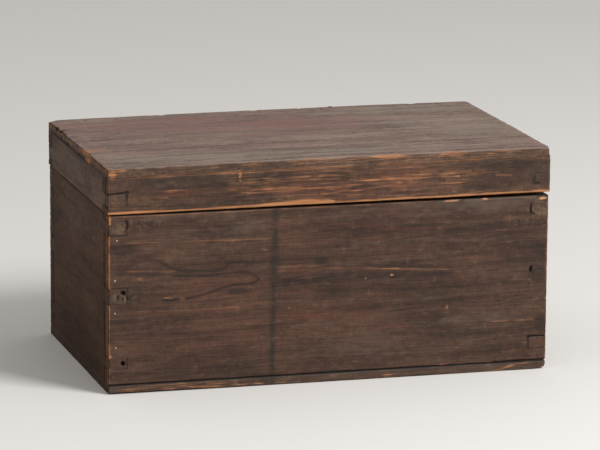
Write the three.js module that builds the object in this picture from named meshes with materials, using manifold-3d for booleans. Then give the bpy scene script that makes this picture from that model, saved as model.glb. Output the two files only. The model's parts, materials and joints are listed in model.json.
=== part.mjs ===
// Wooden money box with finger-jointed corners and a deep lift-off lid.
// Millimetres, +Z up. X runs along the length, the front faces -Y, and the origin is the centre of the
// footprint, on the surface that the box stands on.
import * as THREE from 'three';
import { mergeVertices } from 'three/addons/utils/BufferGeometryUtils.js';
import Module from 'manifold-3d';

// ---- driving dimensions ------------------------------------------------------------------------

const LID_LENGTH = 454.5; // 15 sun
const LID_DEPTH = 272.7; // 9 sun
const LID_HEIGHT = 45.45; // 1.5 sun
const OVERHANG = 1.2; // how far the lid stands out past the base on each side
const WALL = 18.8; // every upright board, a little over 6 bu
const BOTTOM_BOARD = 9.1; // 3 bu
const TOP_BOARD = 9.2;
const BASE_HEIGHT = 178.8; // 5.9 sun, from the ground to the rim
const GAP = 0.3; // between pieces that touch
const CORNER_EASE = 1.0; // chamfer on the upright corners of the flat boards

// Height ranges of the fingers at the ends of each side board.
const LEFT_FINGERS = [[25, 36.5], [90, 106.5], [158.5, 173]];
const RIGHT_FINGERS = [[22, 34], [85, 103.5], [152.5, 173]];
const LID_LEFT_FINGERS = [[186.5, 200]];
const LID_RIGHT_FINGERS = [[187.5, 198.5]];

const LIP_THICKNESS = 7.6;
const LIP_RISE = 12.1; // above the rim
const LIP_DROP = 33.3; // below the rim
const LIP_CHAMFER = 2;

const NAIL = { shank: 1.2, head: 2.3, headHeight: 0.9, length: 24, point: 4 };
const BRAD = { shank: 0.7, head: 1.1, headHeight: 0.6, length: 30, point: 3 };
const PEG = { radius: 1.6, tip: 1.1, length: 30 };
const LIP_PEG = { radius: 1.3, tip: 0.9, length: 16 };
const ROUND_SIDES = 10;

const BOTTOM_NAIL_XS = [-200, -100, 0, 100, 200];
const BOTTOM_NAIL_YS = [-45, 45];
const TOP_PEG_XS = [-190, -64, 64, 190];
const TOP_PEG_YS = [0];
const LIP_PEG_SHARE = 0.3; // how far each lip peg is from the strip's middle, as a share of its length
const LIP_PEG_BELOW_RIM = 18;
const BRADS = [ // inset from the corner, height
  [7.7, 47],
  [6.8, 81.5],
  [6.9, 114],
  [9, 154],
];
const REAR_NAIL_X = 75;
const REAR_NAIL_PROUD = 0.6;

// ---- places that follow ------------------------------------------------------------------------

const LID_BOTTOM = BASE_HEIGHT + GAP;
const LID_TOP = LID_BOTTOM + LID_HEIGHT;
const TOP_BOARD_UNDERSIDE = LID_TOP - TOP_BOARD;
const BASE = {
  halfX: LID_LENGTH / 2 - OVERHANG,
  halfY: LID_DEPTH / 2 - OVERHANG,
  low: BOTTOM_BOARD + GAP,
  high: BASE_HEIGHT,
};
const LID = {
  halfX: LID_LENGTH / 2,
  halfY: LID_DEPTH / 2,
  low: LID_BOTTOM,
  high: TOP_BOARD_UNDERSIDE - GAP,
};
const LIP_LOW = BASE_HEIGHT - LIP_DROP;
const LIP_HIGH = BASE_HEIGHT + LIP_RISE;

// ---- materials ---------------------------------------------------------------------------------

const wood = (color) => new THREE.MeshStandardMaterial({ color, roughness: 0.72, metalness: 0 });
const STAINED = wood('#4c362b');
const STAINED_TOP = wood('#6b5648');
const RAW = wood('#9a6b42');
const BAMBOO = wood('#a58454');
const IRON = new THREE.MeshStandardMaterial({ color: '#4a3f39', roughness: 0.6, metalness: 0.8 });
const STEEL = new THREE.MeshStandardMaterial({ color: '#b9b4aa', roughness: 0.35, metalness: 0.9 });

// ---- solids ------------------------------------------------------------------------------------

const wasm = await Module();
wasm.setup();

// The closed geometry as a solid, with its shared corners merged.
function toSolid(geometry) {
  const plain = geometry.clone();
  plain.deleteAttribute('normal');
  plain.deleteAttribute('uv');
  const merged = mergeVertices(plain);
  return new wasm.Manifold(new wasm.Mesh({
    numProp: 3,
    vertProperties: new Float32Array(merged.attributes.position.array),
    triVerts: new Uint32Array(merged.index.array),
  }));
}

function toGeometry(solid) {
  const mesh = solid.getMesh();
  const geometry = new THREE.BufferGeometry();
  geometry.setAttribute('position', new THREE.BufferAttribute(mesh.vertProperties, 3));
  geometry.setIndex(new THREE.BufferAttribute(mesh.triVerts, 1));
  geometry.computeVertexNormals();
  return geometry;
}

function cutAway(geometry, cutters) {
  let solid = toSolid(geometry);
  for (const cutter of cutters) {
    solid = solid.subtract(toSolid(cutter));
  }
  return toGeometry(solid);
}

// Extrudes a closed outline of [across, up] points. `across`, `up` and `along` are the world
// directions of the outline's two axes and of the extrusion, which starts at `start`.
function slab(points, depth, { across, up, along, start }) {
  const shape = new THREE.Shape(points.map(([a, b]) => new THREE.Vector2(a, b)));
  const geometry = new THREE.ExtrudeGeometry(shape, { depth, bevelEnabled: false });
  const place = new THREE.Matrix4().makeBasis(across, up, along);
  place.setPosition(along.clone().multiplyScalar(start));
  return geometry.applyMatrix4(place);
}

const X = new THREE.Vector3(1, 0, 0);
const Y = new THREE.Vector3(0, 1, 0);
const Z = new THREE.Vector3(0, 0, 1);

// A front or back board: full length, with a notch at each end for every finger of the side boards.
function longBoard({ halfX, low, high }, leftFingers, rightFingers, frontY) {
  const reach = WALL + GAP;
  const points = [[-halfX, low], [halfX, low]];
  for (const [from, to] of rightFingers) {
    points.push([halfX, from], [halfX - reach, from], [halfX - reach, to], [halfX, to]);
  }
  points.push([halfX, high], [-halfX, high]);
  for (const [from, to] of [...leftFingers].reverse()) {
    points.push([-halfX, to], [-halfX + reach, to], [-halfX + reach, from], [-halfX, from]);
  }
  // X, Z and -Y are a right-handed set, so the board is extruded towards the front.
  const towardsFront = Y.clone().negate();
  return slab(points, WALL, { across: X, up: Z, along: towardsFront, start: -(frontY + WALL) });
}

// A side board: between the front and back boards, with fingers that reach their outer faces.
function sideBoard({ halfY, low, high }, fingers, lowX) {
  const shoulder = halfY - WALL - GAP;
  const points = [[-shoulder, low], [shoulder, low]];
  for (const [from, to] of fingers) {
    const [under, over] = [from + GAP, to - GAP];
    points.push([shoulder, under], [halfY, under], [halfY, over], [shoulder, over]);
  }
  points.push([shoulder, high], [-shoulder, high]);
  for (const [from, to] of [...fingers].reverse()) {
    const [under, over] = [from + GAP, to - GAP];
    points.push([-shoulder, over], [-halfY, over], [-halfY, under], [-shoulder, under]);
  }
  return slab(points, WALL, { across: Y, up: Z, along: X, start: lowX });
}

// A flat board over the whole footprint, with its four corners eased.
function flatBoard(halfX, halfY, low, thickness) {
  const r = CORNER_EASE;
  const points = [
    [-halfX + r, -halfY], [halfX - r, -halfY], [halfX, -halfY + r], [halfX, halfY - r],
    [halfX - r, halfY], [-halfX + r, halfY], [-halfX, halfY - r], [-halfX, -halfY + r],
  ];
  return slab(points, thickness, { across: X, up: Y, along: Z, start: low });
}

// A strip of the inner lip. Its section has a chamfer at the top of its outer face, which guides
// the lid on. `outward` is the direction that this face looks in.
function lipStrip(length, outward, outerFace) {
  const inner = outerFace - LIP_THICKNESS;
  const points = [
    [inner, LIP_LOW], [outerFace, LIP_LOW], [outerFace, LIP_HIGH - LIP_CHAMFER],
    [outerFace - LIP_CHAMFER, LIP_HIGH], [inner, LIP_HIGH],
  ];
  const along = new THREE.Vector3().crossVectors(outward, Z);
  return slab(points, length, { across: outward, up: Z, along, start: -length / 2 });
}

// Turns [radius, depth] pairs, with depth measured from the head's face into the wood, into a
// closed round solid whose head's face is at `at` and whose point lies in the direction `into`.
function turned(profile, at, into) {
  const points = profile.map(([radius, depth]) => new THREE.Vector2(radius, -depth));
  const geometry = new THREE.LatheGeometry(points, ROUND_SIDES);
  const outwards = into.clone().negate();
  geometry.applyQuaternion(new THREE.Quaternion().setFromUnitVectors(Y, outwards));
  return geometry.translate(at.x, at.y, at.z);
}

// `spare` widens a fastener into the hole that holds it.
function nailProfile({ shank, head, headHeight, length, point }, spare = 0) {
  return [
    [0, length + spare],
    [shank + spare, length - point + spare],
    [shank + spare, headHeight + spare],
    [head + spare, headHeight + spare],
    [head + spare, -2 * spare],
    [0, -2 * spare],
  ];
}

function pegProfile({ radius, tip, length }, spare = 0) {
  return [
    [0, length + spare],
    [tip + spare, length + spare],
    [radius + spare, -2 * spare],
    [0, -2 * spare],
  ];
}

// ---- fasteners ---------------------------------------------------------------------------------

// Every fastener: the name of its node, its solid, the cutter that makes its hole, its material and
// the boards that it passes through.
const fasteners = [];

function fasten(name, profile, spec, at, into, material, boards) {
  fasteners.push({
    name,
    material,
    boards,
    solid: turned(profile(spec), at, into),
    hole: turned(profile(spec, GAP), at, into),
  });
}

const DOWN = Z.clone().negate();
const BASE_MID_Y = BASE.halfY - WALL / 2;
const BASE_MID_X = BASE.halfX - WALL / 2;
const LID_MID_Y = LID.halfY - WALL / 2;
const LID_MID_X = LID.halfX - WALL / 2;

for (const [side, sign] of [['front', -1], ['back', 1]]) {
  BOTTOM_NAIL_XS.forEach((x, i) => {
    const at = new THREE.Vector3(x, sign * BASE_MID_Y, GAP);
    const boards = ['base_bottom_board', `base_${side}_board`];
    fasten(`bottom_nail_${side}_${i + 1}`, nailProfile, NAIL, at, Z, IRON, boards);
  });
  TOP_PEG_XS.forEach((x, i) => {
    const at = new THREE.Vector3(x, sign * LID_MID_Y, LID_TOP);
    const boards = ['lid_top_board', `lid_${side}_board`];
    fasten(`top_peg_${side}_${i + 1}`, pegProfile, PEG, at, DOWN, BAMBOO, boards);
  });
}
for (const [side, sign] of [['left', -1], ['right', 1]]) {
  BOTTOM_NAIL_YS.forEach((y, i) => {
    const at = new THREE.Vector3(sign * BASE_MID_X, y, GAP);
    const boards = ['base_bottom_board', `base_${side}_board`];
    fasten(`bottom_nail_${side}_${i + 1}`, nailProfile, NAIL, at, Z, IRON, boards);
  });
  TOP_PEG_YS.forEach((y, i) => {
    const at = new THREE.Vector3(sign * LID_MID_X, y, LID_TOP);
    const boards = ['lid_top_board', `lid_${side}_board`];
    fasten(`top_peg_${side}_${i + 1}`, pegProfile, PEG, at, DOWN, BAMBOO, boards);
  });
}
BRADS.forEach(([inset, height], i) => {
  const at = new THREE.Vector3(-BASE.halfX + inset, -BASE.halfY, height);
  const boards = ['base_front_board', 'base_left_board'];
  fasten(`corner_brad_${i + 1}`, nailProfile, BRAD, at, Y, STEEL, boards);
});
fasten(
  'rear_edge_nail', nailProfile, NAIL,
  new THREE.Vector3(REAR_NAIL_X, LID.halfY - NAIL.head - 1, LID_TOP + REAR_NAIL_PROUD),
  DOWN, IRON, ['lid_top_board', 'lid_back_board'],
);

const LIP_HALF_X = BASE.halfX - WALL - GAP;
const LIP_HALF_Y = BASE.halfY - WALL - GAP;
const LONG_LIP = 2 * LIP_HALF_X;
const SHORT_LIP = 2 * (LIP_HALF_Y - LIP_THICKNESS - GAP);
const LIPS = [
  { side: 'front', outward: Y.clone().negate(), face: LIP_HALF_Y, length: LONG_LIP },
  { side: 'back', outward: Y, face: LIP_HALF_Y, length: LONG_LIP },
  { side: 'left', outward: X.clone().negate(), face: LIP_HALF_X, length: SHORT_LIP },
  { side: 'right', outward: X, face: LIP_HALF_X, length: SHORT_LIP },
];
for (const { side, outward, face, length } of LIPS) {
  const along = new THREE.Vector3().crossVectors(outward, Z);
  [-1, 1].forEach((end, i) => {
    const at = along.clone().multiplyScalar(end * LIP_PEG_SHARE * length);
    at.addScaledVector(outward, face - LIP_THICKNESS);
    at.z = BASE_HEIGHT - LIP_PEG_BELOW_RIM;
    const boards = [`lip_${side}`, `base_${side}_board`];
    fasten(`lip_peg_${side}_${i + 1}`, pegProfile, LIP_PEG, at, outward, BAMBOO, boards);
  });
}

// ---- assembly ----------------------------------------------------------------------------------

const group = new THREE.Group();

function addPiece(name, geometry, material) {
  const holes = fasteners.filter(({ boards }) => boards.includes(name)).map(({ hole }) => hole);
  const cut = holes.length ? cutAway(geometry, holes) : geometry;
  const mesh = new THREE.Mesh(cut, material);
  mesh.name = name;
  group.add(mesh);
}

for (const [part, box, left, right] of [
  ['base', BASE, LEFT_FINGERS, RIGHT_FINGERS],
  ['lid', LID, LID_LEFT_FINGERS, LID_RIGHT_FINGERS],
]) {
  addPiece(`${part}_front_board`, longBoard(box, left, right, -box.halfY), STAINED);
  addPiece(`${part}_back_board`, longBoard(box, left, right, box.halfY - WALL), STAINED);
  addPiece(`${part}_left_board`, sideBoard(box, left, -box.halfX), STAINED);
  addPiece(`${part}_right_board`, sideBoard(box, right, box.halfX - WALL), STAINED);
}
addPiece('base_bottom_board', flatBoard(BASE.halfX, BASE.halfY, 0, BOTTOM_BOARD), STAINED);
addPiece(
  'lid_top_board',
  flatBoard(LID.halfX, LID.halfY, TOP_BOARD_UNDERSIDE, TOP_BOARD),
  STAINED_TOP,
);
for (const { side, outward, face, length } of LIPS) {
  addPiece(`lip_${side}`, lipStrip(length, outward, face), RAW);
}
for (const { name, solid, material } of fasteners) {
  addPiece(name, solid, material);
}

export default group;
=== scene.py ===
# The looks of the wooden money box: worn boards, their fasteners, the studio and the camera.
# Lengths are millimetres in this script unless a name says otherwise, and metres in Blender.
import json
import math

import bmesh
import bpy
import numpy as np
from mathutils import Matrix, Vector


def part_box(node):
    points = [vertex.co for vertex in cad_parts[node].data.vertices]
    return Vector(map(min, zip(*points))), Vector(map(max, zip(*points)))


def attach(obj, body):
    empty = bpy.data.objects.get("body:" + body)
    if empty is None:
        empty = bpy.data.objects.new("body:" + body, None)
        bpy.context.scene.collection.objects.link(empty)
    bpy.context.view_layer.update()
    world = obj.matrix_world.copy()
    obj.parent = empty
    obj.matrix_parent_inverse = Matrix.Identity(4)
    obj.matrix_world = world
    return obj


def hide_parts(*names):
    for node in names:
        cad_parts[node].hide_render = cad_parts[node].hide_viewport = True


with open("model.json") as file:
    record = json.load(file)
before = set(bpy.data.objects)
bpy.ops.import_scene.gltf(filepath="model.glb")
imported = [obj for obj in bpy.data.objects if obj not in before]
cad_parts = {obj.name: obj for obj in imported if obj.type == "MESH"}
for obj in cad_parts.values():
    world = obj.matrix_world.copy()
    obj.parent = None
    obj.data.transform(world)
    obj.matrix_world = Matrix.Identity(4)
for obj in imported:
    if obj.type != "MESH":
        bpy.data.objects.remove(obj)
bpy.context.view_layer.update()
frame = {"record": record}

MM = 0.001
X, Y, Z = 0, 1, 2


def box_mm(node):
    low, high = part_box(node)
    return np.array(low) / MM, np.array(high) / MM


# ---- camera and light ----------------------------------------------------------------------------

LENS = 240.0
CAMERA_TURN = math.radians(15.72)
CAMERA_ELEVATION = math.radians(11.833)
CAMERA_ROLL = math.radians(0.407)
CAMERA_DISTANCE = 4081.6
AIM_HEIGHT = 112.0
AIM_ASIDE = (-5.55, -19.12)  # how far the frame's middle lies left of and below that point

KEY_FROM = (1.75, -2.1, 2.3)
KEY_SIZE = 1.3
KEY_POWER = 105.0
FILL_FROM = (-2.6, -2.2, 1.1)
FILL_SIZE = 2.4
FILL_POWER = 2.0
WORLD_COLOUR = (1.0, 0.98, 0.95)
WORLD_STRENGTH = 0.50
FLOOR_COLOUR = (0.80, 0.785, 0.76)
FLOOR_REACH = 30.0


def camera():
    turn, rise, roll = CAMERA_TURN, CAMERA_ELEVATION, CAMERA_ROLL
    forward = Vector((math.sin(turn) * math.cos(rise), math.cos(turn) * math.cos(rise), -math.sin(rise)))
    level = Vector((math.cos(turn), -math.sin(turn), 0))
    upright = level.cross(forward)
    right = level * math.cos(roll) + upright * math.sin(roll)
    up = upright * math.cos(roll) - level * math.sin(roll)
    place = Vector((0, 0, AIM_HEIGHT)) - right * AIM_ASIDE[0] - up * AIM_ASIDE[1]
    place -= forward * CAMERA_DISTANCE
    made = bpy.data.objects.new("camera", bpy.data.cameras.new("camera"))
    made.data.lens = LENS
    made.data.clip_end = 100
    made.matrix_world = matrix_from(right, up, -forward, place * MM)
    bpy.context.scene.collection.objects.link(made)
    bpy.context.scene.camera = made


def matrix_from(x_axis, y_axis, z_axis, place):
    made = Matrix((x_axis, y_axis, z_axis)).transposed().to_4x4()
    made.translation = place
    return made


def area_light(name, place, size, power):
    light = bpy.data.lights.new(name, "AREA")
    light.shape = "SQUARE"
    light.size = size
    light.energy = power
    made = bpy.data.objects.new(name, light)
    made.location = place
    aim = Vector((0, 0, AIM_HEIGHT * MM)) - Vector(place)
    made.rotation_euler = aim.to_track_quat("-Z", "Y").to_euler()
    bpy.context.scene.collection.objects.link(made)


def studio():
    area_light("key_light", KEY_FROM, KEY_SIZE, KEY_POWER)
    area_light("fill_light", FILL_FROM, FILL_SIZE, FILL_POWER)
    world = bpy.data.worlds.new("studio")
    bpy.context.scene.world = world
    world.use_nodes = True
    background = world.node_tree.nodes["Background"]
    background.inputs["Color"].default_value = (*WORLD_COLOUR, 1)
    background.inputs["Strength"].default_value = WORLD_STRENGTH
    mesh = bpy.data.meshes.new("floor")
    r = FLOOR_REACH
    mesh.from_pydata([(-r, -r, 0), (r, -r, 0), (r, r, 0), (-r, r, 0)], [], [(0, 1, 2, 3)])
    floor = bpy.data.objects.new("floor", mesh)
    paint = bpy.data.materials.new("floor_paint")
    paint.use_nodes = True
    shader = paint.node_tree.nodes["Principled BSDF"]
    shader.inputs["Base Color"].default_value = (*FLOOR_COLOUR, 1)
    shader.inputs["Roughness"].default_value = 0.9
    shader.inputs["Specular IOR Level"].default_value = 0.2
    mesh.materials.append(paint)
    bpy.context.scene.collection.objects.link(floor)
    bpy.context.scene.view_settings.view_transform = "Standard"


# ---- the box's own measures ----------------------------------------------------------------------

WALL = 18.8
GAP = 0.3
SEAM = 0.06  # what shows of the gap beside a finger
# Height ranges of the notches that the side boards' fingers fill.
FINGERS = {
    "base_left": [(25, 36.5), (90, 106.5), (158.5, 173)],
    "base_right": [(22, 34), (85, 103.5), (152.5, 173)],
    "lid_left": [(186.5, 200)],
    "lid_right": [(187.5, 198.5)],
}
# How far the askew lid sits above its resting place at its left and its right end.
LID_LIFT = (0.8, 2.7)
TOP_CROWN = 1.0  # how far the top board's upper face is bowed up at its middle
PLAIN_CORNER = 1.6  # plan radius of the upright corners
LID_CORNERS = {(1, 1): 7.0, (-1, 1): 3.5, (1, -1): 2.4}  # worn corners of the lid, by side in x and y

BODY_BOX = {
    "base": (box_mm("base_bottom_board")[0], box_mm("base_right_board")[1]),
    "lid": (box_mm("lid_left_board")[0], box_mm("lid_top_board")[1]),
}
for name, (low, high) in BODY_BOX.items():
    back_low, back_high = box_mm(f"{name}_back_board")
    BODY_BOX[name] = (np.minimum(low, back_low), np.maximum(high, back_high))


# ---- marks on the wood ---------------------------------------------------------------------------
# A mark lies on one outer side of the base or the lid. On the front and the back its place is
# (distance from that side's left end, height); on the left and right ends (distance from the front,
# height); on the top (distance from the left, distance from the front).
# wear bares orange wood in broken streaks and thread in a whole line, pale bares fresh peach wood,
# rough roughens to a light brown, dark blackens, stain, red and dust tint, and cut is a depth.
# Some marks paint light: dust also paints a sheen on the upper sides and on the top, dark also paints
# shade in holes, under the lid and low on the sides, and rough paints light high on the left side.


def line(kind, width, strength, *corners, cut=0.0, ragged=0.35):
    """A line through corners whose two distances are given in turn."""
    return {"kind": kind, "form": "line", "size": width, "strength": strength,
            "at": list(zip(corners[::2], corners[1::2])), "cut": cut, "ragged": ragged}


def spot(kind, radii, strength, *centres, cut=0.0):
    return {"kind": kind, "form": "spot", "size": radii, "strength": strength, "at": centres, "cut": cut}


def lines(kind, *marks, **options):
    """Lines of one kind, each given as its width, strength and corners."""
    return [line(kind, *mark, **options) for mark in marks]


def spots(kind, *marks, **options):
    """Spots of one kind, each given as its two radii, strength and centres."""
    return [spot(kind, *mark, **options) for mark in marks]


def strokes(kind, count, area, lengths, widths, strengths, seed):
    """Random lines along the grain inside an area (a0, a1, b0, b1)."""
    rng = np.random.default_rng(seed)
    made = []
    for _ in range(count):
        length = rng.uniform(*lengths)
        a = rng.uniform(area[0], max(area[1] - length, area[0]))
        b = rng.uniform(area[2], area[3])
        sway = rng.uniform(-0.012, 0.012, 2) * length
        corners = (a, b, a + 0.5 * length, b + sway[0], a + length, b + sway[1])
        made.append(line(kind, rng.uniform(*widths), rng.uniform(*strengths), *corners, ragged=0.5))
    return made


def nicks(count, start, end, depths, seed, upright=False):
    """Random small chips out of an arris that runs from start to end."""
    rng = np.random.default_rng(seed)
    made = []
    for _ in range(count):
        share = rng.uniform()
        place = tuple(p + (q - p) * share for p, q in zip(start, end))
        radii = (rng.uniform(1.6, 5.0), rng.uniform(0.9, 2.0))
        made.append(spot("dark", radii[::-1] if upright else radii, rng.uniform(0.15, 0.5), place,
                         cut=rng.uniform(*depths)))
    return made


def finger_heights(side):
    """The lower and upper heights of a side board's fingers, in turn."""
    return [height for finger in FINGERS[side] for height in finger]


def between_fingers(side, low, high):
    """The pairs of heights of the front and back boards' own wood between a side board's fingers."""
    heights = [low, *finger_heights(side), high]
    return list(zip(heights[::2], heights[1::2]))


def joint_seams(side, strength):
    """The seams of a side board's finger joints, as the box's left or right end shows them."""
    low, high = (corner[Z] for corner in box_mm(f"{side}_board"))
    depth = np.ptp([corner[Y] for corner in BODY_BOX[side.split("_")[0]]])
    made = []
    for seam, arris in ((WALL + GAP, 0.0), (depth - WALL - GAP, depth)):
        for start, end in between_fingers(side, low, high):
            made.append(line("dark", 1.0, strength, seam, start, seam, end, cut=0.3))
        for height in finger_heights(side):
            made.append(line("dark", 0.8, 0.8 * strength, seam, height, arris, height, cut=0.3))
    return made


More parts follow.
